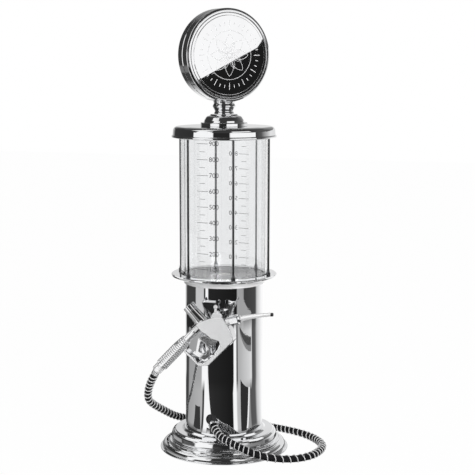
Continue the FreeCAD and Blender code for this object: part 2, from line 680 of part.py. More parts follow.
def trigger():
    """Lever with an eye, a pad for the plunger, two legs round a window and a curved toe."""
    outline = [
        (10.3, 147.2, 3.2), (17.0, 147.2, 3.2), (16.5, 137.0, 2.0), (14.0, 132.2, 1.4),
        (6.6, 126.6, 1.5), (3.3, 127.4, 0.8), (3.6, 115.0, 1.6), (-1.8, 110.8, 1.8),
        (-6.5, 112.6, 4.0), (-15.2, 116.9, 0.8), (-14.6, 118.7, 0.8), (-11.6, 118.6, 0.8),
        (-8.9, 134.0, 2.2), (-2.6, 137.4, 2.4), (4.0, 134.9, 0.6), (9.5, 140.0, 0.8)]
    plate = Part.Face(eased_wire(outline, trigger_point)).extrude(V(0, TRIGGER_T, 0))
    window = [(-8.4, 119.6, 0.8), (-5.6, 131.6, 1.4), (-1.0, 128.8, 1.2), (0.2, 116.6, 1.0)]
    plate = plate.cut(Part.Face(eased_wire(window, trigger_point)).extrude(V(0, TRIGGER_T, 0)))
    rims = [edge for edge in plate.Edges
            if abs(edge.BoundBox.YMax - edge.BoundBox.YMin) < 1e-6]
    plate = plate.makeFillet(0.5, rims)
    return plate.cut(pivot_bar(PIN_R + RUNNING, GUN_Y - 5, GUN_Y + 5))


def trigger_pin():
    """Pin pressed in from the back; its front end stays hidden in the body."""
    return pivot_bar(PIN_R, GUN_Y - 4.5, GUN_Y + GUN_T / 2 - 0.4)


def ball_stud():
    """Small ball on a short post, on top of the neck."""
    body = spun([(0, 159.0, 0), (1.1, 159.0, 0), (1.1, 162.3, 0), (1.9, 162.3, 0), (1.5, 163.4, 0.3),
                 (1.3, 166.6, 0), (0, 166.6, 0)])
    body = body.fuse(Part.makeSphere(2.3, V(0, 0, 168.0))).removeSplitter()
    body.translate(V(BALL_X, GUN_Y, 0))
    return body


def hanger_stud():
    """Headed stud on the gun's back that drops into the holster's slot."""
    shank = LIP_BACK + 0.4 - (GUN_Y + GUN_T / 2)
    body = spun([(0, -3.0, 0), (1.6, -3.0, 0), (1.6, 0, 0), (HANGER_R, 0, 0), (HANGER_R, shank, 0),
                 (4.2, shank + 0.2, 0.1), (4.2, shank + 1.2, 0.5), (0, shank + 1.2, 0)])
    return laid_along(body, V(HANGER[0], GUN_Y + GUN_T / 2, HANGER[1]), V(0, 1, 0))


def handle_tube():
    body = round_bar(HANDLE_R, on_handle(-4.5), on_handle(GRIP_END))
    return body.cut(round_bar(PASSAGE_R, on_handle(-4.5), on_handle(GRIP_END)))


def grip():
    """Swelling sleeve with rings over the handle tube."""
    pitch = (GRIP_LENGTH - 3.0) / GRIP_RINGS
    corners = [(HANDLE_R, 0, 0), (GRIP_TOP_R, 0, 0.5)]
    for k in range(GRIP_RINGS):
        low = 1.5 + k * pitch
        swelling = math.sin(min(1, low / GRIP_SWELL) * math.pi / 2)
        crest = GRIP_TOP_R + (GRIP_R - GRIP_TOP_R) * swelling
        corners += [(crest, low, 0), (crest - RING_GROOVE, low + pitch * 0.2, 0),
                    (crest, low + pitch * 0.4, 0)]
    corners += [(GRIP_R, GRIP_LENGTH, 0.5), (HANDLE_R, GRIP_LENGTH, 0)]
    return laid_along(spun(corners), on_handle(GRIP_START), handle_down())


def hose_collar():
    """Union sleeve with two square notches, between the grip and the ferrule."""
    length = COLLAR_LENGTH
    body = spun([(PASSAGE_R, 0, 0), (UNION_R, 0, 0.5), (UNION_R, length, 0.7), (PASSAGE_R, length, 0)])
    for side in (-1, 1):
        notch = Part.makeBox(3.8, 2.0, 4.8, V(-1.9, side * (UNION_R - 0.3) - 1.0, 2.1))
        body = body.cut(notch)
    return laid_along(body, on_handle(GRIP_END), handle_down())


def hose_ferrule():
    """Crimped sleeve on the bent tail of the union: the hose hangs from it."""
    length = 5.7
    knuckle = Part.makeSphere(3.6, on_handle(COLLAR_END))
    sleeve = laid_along(spun([(0, 1.0, 0), (4.0, 1.0, 0.5), (4.2, length, 0.7), (0, length, 0)]),
                        on_handle(COLLAR_END), HOSE_TAIL)
    body = knuckle.fuse(sleeve).removeSplitter()
    body = body.cut(round_bar(5.6, on_handle(GRIP_END), on_handle(COLLAR_END)))
    bore = Part.makeSphere(PASSAGE_R, on_handle(COLLAR_END)).fuse(
        round_bar(PASSAGE_R, on_handle(COLLAR_END), on_handle(COLLAR_END) + HOSE_TAIL * 8))
    return body.cut(bore)


def spout_nut():
    """Hexagonal nut that holds the spout to the body."""
    nut = hex_nut(9.6, 8.6, 2.6)
    return laid_along(nut, SPOUT_ROOT, SPOUT_DIRECTION)


def spout_ring():
    body = spun([(2.8, 8.6, 0), (3.2, 8.6, 0.2), (3.9, 9.4, 0.4), (3.9, 11.6, 0.6), (2.8, 12.2, 0)])
    return laid_along(body, SPOUT_ROOT, SPOUT_DIRECTION)


def spout():
    """Tapered tube that bends down towards its open end."""
    start = SPOUT_ROOT - SPOUT_DIRECTION * 4
    shoulder = SPOUT_ROOT + SPOUT_DIRECTION * 8.6
    leave = SPOUT_ROOT + SPOUT_DIRECTION * 12.5
    side = V(math.sin(math.radians(SPOUT_RISE)), 0, -math.cos(math.radians(SPOUT_RISE)))
    centre = leave + side * SPOUT_BEND_R
    sections = []
    bores = []
    steps = 4
    for k in range(steps + 1):
        angle = math.radians(SPOUT_DROP * k / steps)
        outward = side * -math.cos(angle) + SPOUT_DIRECTION * math.sin(angle)
        along = SPOUT_DIRECTION * math.cos(angle) + side * math.sin(angle)
        place = centre + outward * SPOUT_BEND_R
        radius = 2.8 - 0.9 * k / steps
        sections.append(Part.Wire(Part.makeCircle(radius, place, along)))
        bores.append(Part.Wire(Part.makeCircle(radius - SPOUT_WALL, place, along)))
    tapered = Part.makeLoft(sections, True).cut(Part.makeLoft(bores, True))
    straight = round_bar(2.6, start, shoulder).fuse(round_bar(2.8, shoulder, leave))
    straight = straight.cut(round_bar(PASSAGE_R, start, shoulder))
    straight = straight.cut(round_bar(2.8 - SPOUT_WALL, shoulder, leave))
    return straight.fuse(tapered)


# ---- hose ---------------------------------------------------------------------------------------
def hose_path(route):
    """Straight runs joined by tangent arcs, each as large as its two runs allow."""
    edges = []
    radii = []
    here = V(*route[0])
    for i in range(1, len(route) - 1):
        corner = V(*route[i])
        back = V(*route[i - 1]) - corner
        ahead = V(*route[i + 1]) - corner
        shorter = min(back.Length, ahead.Length)
        turn = math.pi - back.getAngle(ahead)
        reach = 0.45 * shorter
        radius = reach / math.tan(turn / 2)
        back = back.normalize()
        ahead = ahead.normalize()
        middle = corner + (back + ahead).normalize() * (radius / math.cos(turn / 2) - radius)
        start = corner + back * reach
        end = corner + ahead * reach
        edges.append(Part.LineSegment(here, start).toShape())
        edges.append(Part.Arc(start, middle, end).toShape())
        radii.append(round(radius, 1))
        here = end
    edges.append(Part.LineSegment(here, V(*route[-1])).toShape())
    return Part.Wire(edges), radii


def hose():
    path, radii = hose_path(HOSE_ROUTE)
    first = V(*HOSE_ROUTE[1]) - V(*HOSE_ROUTE[0])
    section = Part.Wire(Part.makeCircle(HOSE_R, V(*HOSE_ROUTE[0]), first))
    body = path.makePipeShell([section], True, False)
    expected = math.pi * HOSE_R ** 2 * path.Length
    print("hose length", round(path.Length, 1), "radii", radii)
    print("hose volume over section times length", round(body.Volume / expected, 4))
    return body


# ---- the nodes ----------------------------------------------------------------------------------
os.makedirs("parts", exist_ok=True)

PIECES = [
    rest_pad, base_shell, base_weight, base_cover, base_screws,
    column_tube, column_collar, tray, tray_screws, drain_fitting, drain_seal, drain_nut, feed_tube,
    tank, tank_lower_gasket, tank_upper_gasket, top_ring, rod_screws,
    lid_shell, lid_liner, lid_seal, lid_plinth, stem_screw, stem_nut,
    globe_stem, globe_screws, holster, holster_screws,
    outlet_grommet, outlet_nipple, outlet_ferrule,
    gun_body, valve_cap, valve_plunger, valve_seal, valve_spring, trigger, trigger_pin,
    ball_stud, hanger_stud, handle_tube, grip, hose_collar, hose_ferrule,
    spout_nut, spout_ring, spout, hose]

for piece in PIECES:
    save(piece.__name__, piece())

for k in range(ROD_COUNT):
    upright = rod()
    upright.translate(around(ROD_START + 60 * k, ROD_CIRCLE, 0))
    save("rod_" + str(k + 1), upright)

for name, side in (("front", 1), ("rear", -1)):
    save("globe_" + name + "_shell", globe_shell(side))
    save(name + "_bezel", globe_bezel(side))
    save(name + "_dial", globe_dial(side))
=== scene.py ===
import math
import bmesh
import bpy
from mathutils import Matrix, Vector


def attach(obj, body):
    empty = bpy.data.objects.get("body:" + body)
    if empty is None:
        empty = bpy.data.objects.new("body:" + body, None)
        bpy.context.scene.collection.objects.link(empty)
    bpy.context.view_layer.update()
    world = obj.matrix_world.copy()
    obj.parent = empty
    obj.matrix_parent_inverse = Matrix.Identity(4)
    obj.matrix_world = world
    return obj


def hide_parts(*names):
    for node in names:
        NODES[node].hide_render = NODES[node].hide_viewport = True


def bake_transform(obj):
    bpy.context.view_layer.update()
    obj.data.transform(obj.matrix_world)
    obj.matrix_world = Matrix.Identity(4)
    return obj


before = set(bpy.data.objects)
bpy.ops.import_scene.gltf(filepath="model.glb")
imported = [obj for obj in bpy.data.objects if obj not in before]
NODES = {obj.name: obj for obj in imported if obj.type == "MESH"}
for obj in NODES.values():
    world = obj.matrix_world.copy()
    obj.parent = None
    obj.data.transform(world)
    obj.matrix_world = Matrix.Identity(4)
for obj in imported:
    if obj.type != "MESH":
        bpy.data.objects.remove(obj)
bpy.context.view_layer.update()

# The dressed drink dispenser: finishes for the turned and cast pieces, the printed scale on the tank,
# the etched dials, the hose with its wire guard, and a plain studio. Metres, in the frame of the solids,
# apart from the sizes that are said to be in millimetres. A heading is an angle in degrees from the
# front towards +X.

MM = 0.001
UP = Vector((0, 0, 1))

# ---- the object's own sizes, in millimetres and degrees -------------------------------------------
TANK_R = 46.4
GLOBE_Z = 428.0
GLOBE_TURN = 46.0           # heading of the front dial
DIAL_FACE = 12.6            # from the globe's middle out to the face of a dial

# ---- the viewer -----------------------------------------------------------------------------------
VIEW_TURN = 19.0            # heading of the camera
VIEW_AWAY = 1.3317
VIEW_UP = 0.4217
VIEW_DOWN = 8.056           # degrees that the camera looks down
SENSOR_WIDTH = 36.0
LENS = 94.393
LENS_SHIFT = 0.02827
NEAREST_SEEN = 0.01


# ---- helpers --------------------------------------------------------------------------------------
def mm(point):
    return Vector(point) * MM


def heading(angle):
    """Level direction at an angle from the front, positive towards +X."""
    turn = math.radians(angle)
    return Vector((math.sin(turn), -math.cos(turn), 0))


def from_viewer(angle):
    """Level direction at an angle from the camera's own heading."""
    return heading(VIEW_TURN + angle)


def put(name, data):
    """Put an object with this data in the scene."""
    thing = bpy.data.objects.new(name, data)
    bpy.context.scene.collection.objects.link(thing)
    return thing


def finish(piece, material):
    piece.data.materials.clear()
    piece.data.materials.append(material)


def read_off(stops, place):
    """The value at a place in a list of (place, value) stops, straight between two of them."""
    for (low, first), (high, second) in zip(stops, stops[1:]):
        if place <= high:
            return first + (second - first) * (place - low) / (high - low)
    return stops[-1][1]


def place_camera():
    data = bpy.data.cameras.new("camera")
    data.sensor_width = SENSOR_WIDTH
    data.lens = LENS
    data.shift_x = LENS_SHIFT
    data.clip_start = NEAREST_SEEN
    camera = put("camera", data)
    camera.location = heading(VIEW_TURN) * VIEW_AWAY + UP * VIEW_UP
    camera.rotation_euler = (math.radians(90 - VIEW_DOWN), 0, math.radians(VIEW_TURN))
    bpy.context.scene.camera = camera


place_camera()


# ---- mesh helpers ---------------------------------------------------------------------------------
def piece_from(name, verts, faces, smooth=True):
    """A mesh object from points in metres and faces."""
    mesh = bpy.data.meshes.new(name)
    mesh.from_pydata([tuple(v) for v in verts], [], faces)
    mesh.update()
    if smooth:
        mesh.shade_smooth()
    return put(name, mesh)


def piece_drawn(name, drawing, material):
    """A mesh object from a finished drawing, in one material."""
    mesh = bpy.data.meshes.new(name)
    drawing.to_mesh(mesh)
    drawing.free()
    piece = put(name, mesh)
    finish(piece, material)
    return piece


def steady_frames(points):
    """For each point of a path: the point, and two directions across it that never twist."""
    frames = []
    across = None
    for i, point in enumerate(points):
        ahead = (points[min(i + 1, len(points) - 1)] - points[max(i - 1, 0)]).normalized()
        if across is None:
            across = ahead.orthogonal().normalized()
        across = (across - ahead * across.dot(ahead)).normalized()
        frames.append((point, across, ahead.cross(across)))
    return frames


def around(here, angle, radius):
    """A point at a radius from a path's point, at an angle round it."""
    point, across, beside = here
    return point + (across * math.cos(angle) + beside * math.sin(angle)) * radius


def tube_along(name, points, radius, sides):
    """A closed tube of one radius along a path of points."""
    frames = steady_frames(points)
    verts = [around(here, 2 * math.pi * k / sides, radius) for here in frames for k in range(sides)]
    faces = []
    for start in range(0, len(verts) - sides, sides):
        for k in range(sides):
            a = start + k
            b = start + (k + 1) % sides
            faces.append((a, b, b + sides, a + sides))
    faces.append(tuple(range(sides - 1, -1, -1)))
    faces.append(tuple(range(len(verts) - sides, len(verts))))
    return piece_from(name, verts, faces)


# ---- hose, in millimetres -------------------------------------------------------------------------
HOSE_R = 3.6
HOSE_SIDES = 32
HOSE_ROUTE = [(4.95, -48.45, 37.41), (12.7, -57.7, 30.2), (30.0, -62.5, 25.0), (58.0, -60.5, 13.2),
              (83.0, -37.0, 4.6), (104.0, -18.0, 4.6), (109.0, 13.5, 4.6), (101.5, 35.5, 4.6),
              (77.0, 60.0, 4.6), (38.0, 73.5, 4.6), (-8.0, 80.5, 4.6), (-48.0, 77.5, 4.6),
              (-74.0, 53.0, 11.0), (-82.0, 23.0, 28.0), (-82.0, -8.5, 43.5), (-79.0, -29.5, 55.5),
              (-69.3, -46.3, 77.0), (-59.6, -54.1, 90.2)]
ROUTE_ORDER = 3             # how smoothly the route's points steer the hose
ROUTE_STEPS = 24            # points of the smooth line for each point of the route
WIRE_R = 0.56
WIRE_SUNK = 0.14            # how deep the wire is pressed into the rubber
WIRE_SIDES = 8
WIRE_STEPS = 20             # points in one turn of the wire
BARE_END = 1.0              # length without wire at both ends of the hose
# (distance along the hose, length that one turn of the wire takes there)
WIRE_PITCH = [(0, 4.3), (24, 4.6), (48, 5.1), (62, 6.8), (76, 9.4), (98, 8.8), (115, 7.6), (132, 5.8),
              (190, 6.0), (212, 7.8), (236, 5.5), (355, 4.6), (370, 4.9), (400, 7.2), (425, 9.0),
              (445, 9.6), (462, 9.6), (480, 6.6), (495, 5.8), (517, 5.3)]


def route_points():
    """Points of the smooth line that the route's points steer."""
    data = bpy.data.curves.new("hose_line", "CURVE")
    data.dimensions = "3D"
    data.resolution_u = ROUTE_STEPS
    line = data.splines.new("NURBS")
    line.points.add(len(HOSE_ROUTE) - 1)
    for point, place in zip(line.points, HOSE_ROUTE):
        point.co = (*mm(place), 1.0)
    line.order_u = ROUTE_ORDER
    line.use_endpoint_u = True
    carrier = put("hose_line", data)
    bpy.context.view_layer.update()
    mesh = bpy.data.meshes.new_from_object(carrier)
    points = [v.co.copy() for v in mesh.vertices]
    bpy.data.objects.remove(carrier)
    return points


def wire_guard(points):
    """The round wire wound on the hose, closer where the hose was pushed together."""
    frames = steady_frames(points)
    along = [0.0]
    for a, b in zip(points, points[1:]):
        along.append(along[-1] + (b - a).length / MM)
    mean = (HOSE_R + WIRE_R - WIRE_SUNK) * MM
    line = []
    angle = 0.0
    distance = BARE_END
    index = 0
    while distance < along[-1] - BARE_END:
        while along[index + 1] < distance:
            index += 1
        part = (distance - along[index]) / (along[index + 1] - along[index])
        here = [near.lerp(far, part) for near, far in zip(frames[index], frames[index + 1])]
        line.append(around(here, angle, mean))
        angle += 2 * math.pi / WIRE_STEPS
        distance += read_off(WIRE_PITCH, distance) / WIRE_STEPS
    return tube_along("hose_wire", line, WIRE_R * MM, WIRE_SIDES)


def make_hose():
    points = route_points()
    hose = tube_along("hose_rubber", points, HOSE_R * MM, HOSE_SIDES)
    wire = wire_guard(points)
    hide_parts("hose")
    for piece in (hose, wire):
        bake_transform(piece)
    return hose, wire


HOSE, WIRE = make_hose()


# ---- node helpers ---------------------------------------------------------------------------------
def add(tree, kind, values=None, **options):
    """Place a node, set its options, and give its inputs a value or a link."""
    made = tree.nodes.new(kind)
    for option, value in options.items():
        setattr(made, option, value)
    for key, value in (values or {}).items():
        if isinstance(value, bpy.types.NodeSocket):
            tree.links.new(value, made.inputs[key])
        else:
            made.inputs[key].default_value = value
    return made


def maths(tree, operation, first, second=0.0, clamp=False):
    return add(tree, "ShaderNodeMath", {0: first, 1: second}, operation=operation, use_clamp=clamp).outputs[0]


def between(tree, value, low, high):
    """0 where the value is at low, 1 where it is at high, and straight between them."""
    return add(tree, "ShaderNodeMapRange", {0: value, 1: low, 2: high}).outputs[0]


def blend_values(tree, factor, low, high):
    return add(tree, "ShaderNodeMapRange", {0: factor, 1: 0.0, 2: 1.0, 3: low, 4: high}).outputs[0]


def blend_colours(tree, factor, first, second):
    mix = add(tree, "ShaderNodeMix", {0: factor, 6: first, 7: second}, data_type="RGBA")
    return mix.outputs[2]


def on_piece(tree):
    """The place on the piece itself, in metres; for a solid it is the frame's own place at rest."""
    return add(tree, "ShaderNodeTexCoord").outputs["Object"]


def split(tree, vector):
    return add(tree, "ShaderNodeSeparateXYZ", {0: vector}).outputs


def stretched(tree, place, turn, scale):
    return add(tree, "ShaderNodeMapping", {"Vector": place, "Rotation": turn, "Scale": scale}).outputs[0]


def noise(tree, place, scale, detail, **more):
    values = {"Vector": place, "Scale": scale, "Detail": detail, **more}
    return add(tree, "ShaderNodeTexNoise", values).outputs[0]


def new_group(name, takes, gives):
    """A shader group with named inputs and their values, and named masks that it puts out."""
    tree = bpy.data.node_groups.new(name, "ShaderNodeTree")
    for label, value in takes.items():
        socket = tree.interface.new_socket(label, in_out="INPUT", socket_type="NodeSocketFloat")
        socket.default_value = value
    for label in gives:
        tree.interface.new_socket(label, in_out="OUTPUT", socket_type="NodeSocketFloat")
    return tree, tree.nodes.new("NodeGroupInput").outputs, tree.nodes.new("NodeGroupOutput").inputs


def use_group(tree, group, **values):
    made = tree.nodes.new("ShaderNodeGroup")
    made.node_tree = group
    for label, value in values.items():
        made.inputs[label.replace("_", " ")].default_value = value
    return made.outputs


# ---- effects shared by the finishes ---------------------------------------------------------------
def polish_group():
    """Buffed metal: soft smears of handling, hairline scratches, and the slow waviness of thin sheet."""
    tree, takes, gives = new_group("polish", {"Smear Scale": 18.0, "Wave Scale": 9.0, "Scratch Scale": 260.0},
                                   ["Smears", "Scratches", "Waviness"])
    place = on_piece(tree)
    smears = noise(tree, place, takes["Smear Scale"], 5.0, Roughness=0.62, Distortion=0.6)
    tree.links.new(between(tree, smears, 0.42, 0.72), gives["Smears"])
    drawn = stretched(tree, place, (0.4, 0.9, 0.2), (1.0, 0.05, 1.0))
    hairs = noise(tree, drawn, takes["Scratch Scale"], 3.0)
    tree.links.new(between(tree, hairs, 0.60, 0.74), gives["Scratches"])
    wave = noise(tree, place, takes["Wave Scale"], 1.0)
    tree.links.new(wave, gives["Waviness"])
    return tree


def rubber_group():
    """Moulded rubber: fine pebble and a few pale rubbed spots."""
    tree, takes, gives = new_group("moulded rubber", {"Pebble Scale": 900.0}, ["Pebble", "Rubbed"])
    place = on_piece(tree)
    pebble = noise(tree, place, takes["Pebble Scale"], 2.0)
    tree.links.new(pebble, gives["Pebble"])
    rubbed = noise(tree, place, 60.0, 4.0)
    tree.links.new(between(tree, rubbed, 0.5, 0.8), gives["Rubbed"])
    return tree


def grain_group():
    """Satin grain drawn one way, with slow patches of lighter and darker brushing."""
    tree, takes, gives = new_group("satin grain", {"Grain Scale": 900.0}, ["Grain", "Patches"])
    place = on_piece(tree)
    drawn = stretched(tree, place, (0.0, 0.6, 0.0), (0.06, 1.0, 1.0))
    grain = noise(tree, drawn, takes["Grain Scale"], 3.0)
    tree.links.new(grain, gives["Grain"])
    patches = noise(tree, place, 45.0, 3.0)
    tree.links.new(patches, gives["Patches"])
    return tree


POLISH = polish_group()
RUBBER = rubber_group()
GRAIN = grain_group()


# ---- finishes: colours, roughness, and heights in metres ------------------------------------------
CHROME_COLOUR = (0.93, 0.935, 0.945, 1)
GROUND_COLOUR = (0.90, 0.902, 0.91, 1)
SMEARED_SHADE = 0.94        # brightness of smeared metal as a share of clean metal
SCRATCH_DEPTH = 0.000002
SCRATCH_ROUGHNESS = 0.03    # added to the roughness by a scratch
PATCH_SHADE = 0.88          # brightness of the darker patches of satin metal
SATIN_ROUGHNESS = (-0.05, 0.07)     # satin metal: least and most that the grain adds
GRAIN_HEIGHT = 0.00002
RUBBED_SHADE = (2.2, 0.006)         # rubbed rubber: share of its colour, and what is added to it
RUBBED_ROUGHNESS = 0.18     # added where rubber is rubbed
WORN_ROUGHNESS = 0.12       # added where plastic, paint or iron is rubbed
PEBBLE_SHADE = 0.85         # brightness of the darker grains of plastic, paint and iron
PEBBLE_HEIGHT = 0.00003
PLAIN_PEBBLE = 500.0        # grains in a metre
INK_PEBBLE = 1500.0


def new_material(name):
    material = bpy.data.materials.new(name)
    material.use_nodes = True
    tree = material.node_tree
    return material, tree, tree.nodes["Principled BSDF"]


def link(tree, source, shader, name):
    tree.links.new(source, shader.inputs[name])


def bump(tree, shader, height):
    made = add(tree, "ShaderNodeBump", {"Height": height, "Distance": 1.0, "Strength": 1.0})
    link(tree, made.outputs[0], shader, "Normal")


def shade_of(colour, share, more=0.0):
    return tuple(c * share + more for c in colour[:3]) + (1.0,)


def plated(name, colour, smooth, smeared, wave_height, metal=1.0):
    """Plated and polished metal. smooth and smeared are the roughness of clean and of handled places."""
    material, tree, shader = new_material(name)
    marks = use_group(tree, POLISH)
    shader.inputs["Metallic"].default_value = metal
    dull = shade_of(colour, SMEARED_SHADE)
    link(tree, blend_colours(tree, marks["Smears"], colour, dull), shader, "Base Color")
    worn = maths(tree, "ADD", blend_values(tree, marks["Smears"], smooth, smeared),
                 maths(tree, "MULTIPLY", marks["Scratches"], SCRATCH_ROUGHNESS), True)
    link(tree, worn, shader, "Roughness")
    bump(tree, shader, maths(tree, "ADD", maths(tree, "MULTIPLY", marks["Waviness"], wave_height),
                             maths(tree, "MULTIPLY", marks["Scratches"], -SCRATCH_DEPTH)))
    return material


def satin(name, colour, rough, metal=1.0):
    """Blasted and plated casting with a drawn grain."""
    material, tree, shader = new_material(name)
    grain = use_group(tree, GRAIN)
    shader.inputs["Metallic"].default_value = metal
    deep = shade_of(colour, PATCH_SHADE)
    link(tree, blend_colours(tree, grain["Patches"], colour, deep), shader, "Base Color")
    least, most = (rough + more for more in SATIN_ROUGHNESS)
    link(tree, blend_values(tree, grain["Grain"], least, most), shader, "Roughness")
    bump(tree, shader, maths(tree, "MULTIPLY", grain["Grain"], GRAIN_HEIGHT))
    return material


def rubber(name, colour, rough, shine=0.5):
    """Moulded rubber, paler where it is rubbed."""
    material, tree, shader = new_material(name)
    shader.inputs["Specular IOR Level"].default_value = shine
    skin = use_group(tree, RUBBER)
    pale = shade_of(colour, *RUBBED_SHADE)
    link(tree, blend_colours(tree, skin["Rubbed"], colour, pale), shader, "Base Color")
    link(tree, blend_values(tree, skin["Rubbed"], rough, rough + RUBBED_ROUGHNESS), shader, "Roughness")
    bump(tree, shader, maths(tree, "MULTIPLY", skin["Pebble"], PEBBLE_HEIGHT))
    return material


def plain(name, colour, rough, grain_height=GRAIN_HEIGHT):
    """Moulded plastic, paint or cast iron, told apart by colour and grain."""
    material, tree, shader = new_material(name)
    skin = use_group(tree, RUBBER, Pebble_Scale=PLAIN_PEBBLE)
    deep = shade_of(colour, PEBBLE_SHADE)
    link(tree, blend_colours(tree, skin["Pebble"], colour, deep), shader, "Base Color")
    link(tree, blend_values(tree, skin["Rubbed"], rough, rough + WORN_ROUGHNESS), shader, "Roughness")
    bump(tree, shader, maths(tree, "MULTIPLY", skin["Pebble"], grain_height))
    return material


TANK_COLOURS = ((0.925, 0.93, 0.935, 1), (0.90, 0.905, 0.91, 1))    # clean and smeared
TANK_ROUGHNESS = (0.0, 0.03)
TANK_SMEARS = 30.0
TANK_IOR = 1.49


def clear_tank():
    """Cast clear plastic, a little smeared, with a faint grey tint."""
    material, tree, shader = new_material("clear tank")
    marks = use_group(tree, POLISH, Smear_Scale=TANK_SMEARS)
    shader.inputs["Transmission Weight"].default_value = 1.0
    shader.inputs["IOR"].default_value = TANK_IOR
    link(tree, blend_colours(tree, marks["Smears"], *TANK_COLOURS), shader, "Base Color")
    link(tree, blend_values(tree, marks["Smears"], *TANK_ROUGHNESS), shader, "Roughness")
    return material


INK_COLOURS = ((0.05, 0.05, 0.055, 1), (0.16, 0.16, 0.165, 1))      # fresh and rubbed
INK_ROUGHNESS = (0.45, 0.6)


def ink():
    """Dark printing ink with a few rubbed spots."""
    material, tree, shader = new_material("scale ink")
    skin = use_group(tree, RUBBER, Pebble_Scale=INK_PEBBLE)
    link(tree, blend_colours(tree, skin["Rubbed"], *INK_COLOURS), shader, "Base Color")
    link(tree, blend_values(tree, skin["Pebble"], *INK_ROUGHNESS), shader, "Roughness")
    return material


GROUND_COLOURS = (GROUND_COLOUR, (0.80, 0.803, 0.81, 1))    # light and dark patches
GROUND_ROUGHNESS = (0.36, 0.48)
GROUND_METAL = 0.35
POLISHED_ROUGHNESS = (0.04, 0.08)
FLAT_FACE = (0.90, 0.97)                # how squarely a face looks along Y, from polished to ground
VALVE_UP = (-0.6743, 0.0, 0.7385)       # the way that the gun's valve leans
HOUSING_EDGE = (0.1168, 0.1164)         # along VALVE_UP, from the polished housing to the ground plate


def gun_casting():
    """Ground satin on the two flat faces, polished on the edges and on the housing of the valve."""
    material, tree, shader = new_material("gun casting")
    grain = use_group(tree, GRAIN)
    marks = use_group(tree, POLISH)
    coordinates = add(tree, "ShaderNodeTexCoord").outputs
    facing = maths(tree, "ABSOLUTE", split(tree, coordinates["Normal"])["Y"])
    flat = between(tree, facing, *FLAT_FACE)
    up_valve = add(tree, "ShaderNodeVectorMath", {0: coordinates["Object"], 1: VALVE_UP},
                   operation="DOT_PRODUCT").outputs["Value"]
    below = between(tree, up_valve, *HOUSING_EDGE)
    ground = maths(tree, "MULTIPLY", flat, below)
    link(tree, blend_colours(tree, grain["Patches"], *GROUND_COLOURS), shader, "Base Color")
    link(tree, blend_values(tree, ground, 1.0, GROUND_METAL), shader, "Metallic")
    polished = blend_values(tree, marks["Smears"], *POLISHED_ROUGHNESS)
    satined = blend_values(tree, grain["Grain"], *GROUND_ROUGHNESS)
    link(tree, blend_values(tree, ground, polished, satined), shader, "Roughness")
    bump(tree, shader, maths(tree, "MULTIPLY", maths(tree, "MULTIPLY", grain["Grain"], ground), GRAIN_HEIGHT))
    return material


SPOUT_COLOURS = ((0.96, 0.96, 0.965, 1), (0.91, 0.91, 0.915, 1))    # clean and smeared
SPOUT_ROUGHNESS = (0.12, 0.2)
SPOUT_METAL = 0.35
SLEEVE_COLOUR = (0.012, 0.012, 0.013, 1)
SLEEVE_EDGE = (0.0700, 0.0703)          # along X, from the spout's plate to its black sleeve


def spout_plate():
    """Bright plate with a black sleeve at the mouth."""
    material, tree, shader = new_material("spout plate")
    marks = use_group(tree, POLISH)
    sleeve = between(tree, split(tree, on_piece(tree))["X"], *SLEEVE_EDGE)
    bright = blend_colours(tree, marks["Smears"], *SPOUT_COLOURS)
    link(tree, blend_colours(tree, sleeve, bright, SLEEVE_COLOUR), shader, "Base Color")
    link(tree, blend_values(tree, sleeve, SPOUT_METAL, 0.0), shader, "Metallic")
    link(tree, blend_values(tree, marks["Smears"], *SPOUT_ROUGHNESS), shader, "Roughness")
    bump(tree, shader, maths(tree, "MULTIPLY", marks["Scratches"], -SCRATCH_DEPTH))
    return material


TRAY_SHADE_COLOURS = ((0.06, 0.061, 0.063, 1), (0.025, 0.026, 0.027, 1))    # painted shade of the floor under the tank, clean and smeared
TRAY_ROUGHNESS = (0.015, 0.12)          # of the rim and of the floor
TRAY_SMEARED = 0.05                     # added by a smear
TRAY_WAVE = 0.00004
TRAY_EDGE = (0.0438, 0.0430)            # from the axis, from the tray's rim to its rougher floor with painted shade


def tray_chrome():
    """Chrome like the rest outside; the floor under the tank is rougher, and its colour is painted near black
    as shade under the tank.
    """
    material, tree, shader = new_material("tray chrome")
    marks = use_group(tree, POLISH)
    place = split(tree, on_piece(tree))
    radius = maths(tree, "SQRT", maths(tree, "ADD", maths(tree, "POWER", place["X"], 2.0),
                                       maths(tree, "POWER", place["Y"], 2.0)))
    floor = between(tree, radius, *TRAY_EDGE)
    # painted shade: the floor under the tank is coloured near black for the shade there
    painted_shade = blend_colours(tree, marks["Smears"], *TRAY_SHADE_COLOURS)
    link(tree, blend_colours(tree, floor, CHROME_COLOUR, painted_shade), shader, "Base Color")
    shader.inputs["Metallic"].default_value = 1.0
    link(tree, maths(tree, "ADD", blend_values(tree, floor, *TRAY_ROUGHNESS),
                     maths(tree, "MULTIPLY", marks["Smears"], TRAY_SMEARED)), shader, "Roughness")
    bump(tree, shader, maths(tree, "MULTIPLY", marks["Waviness"], TRAY_WAVE))
    return material


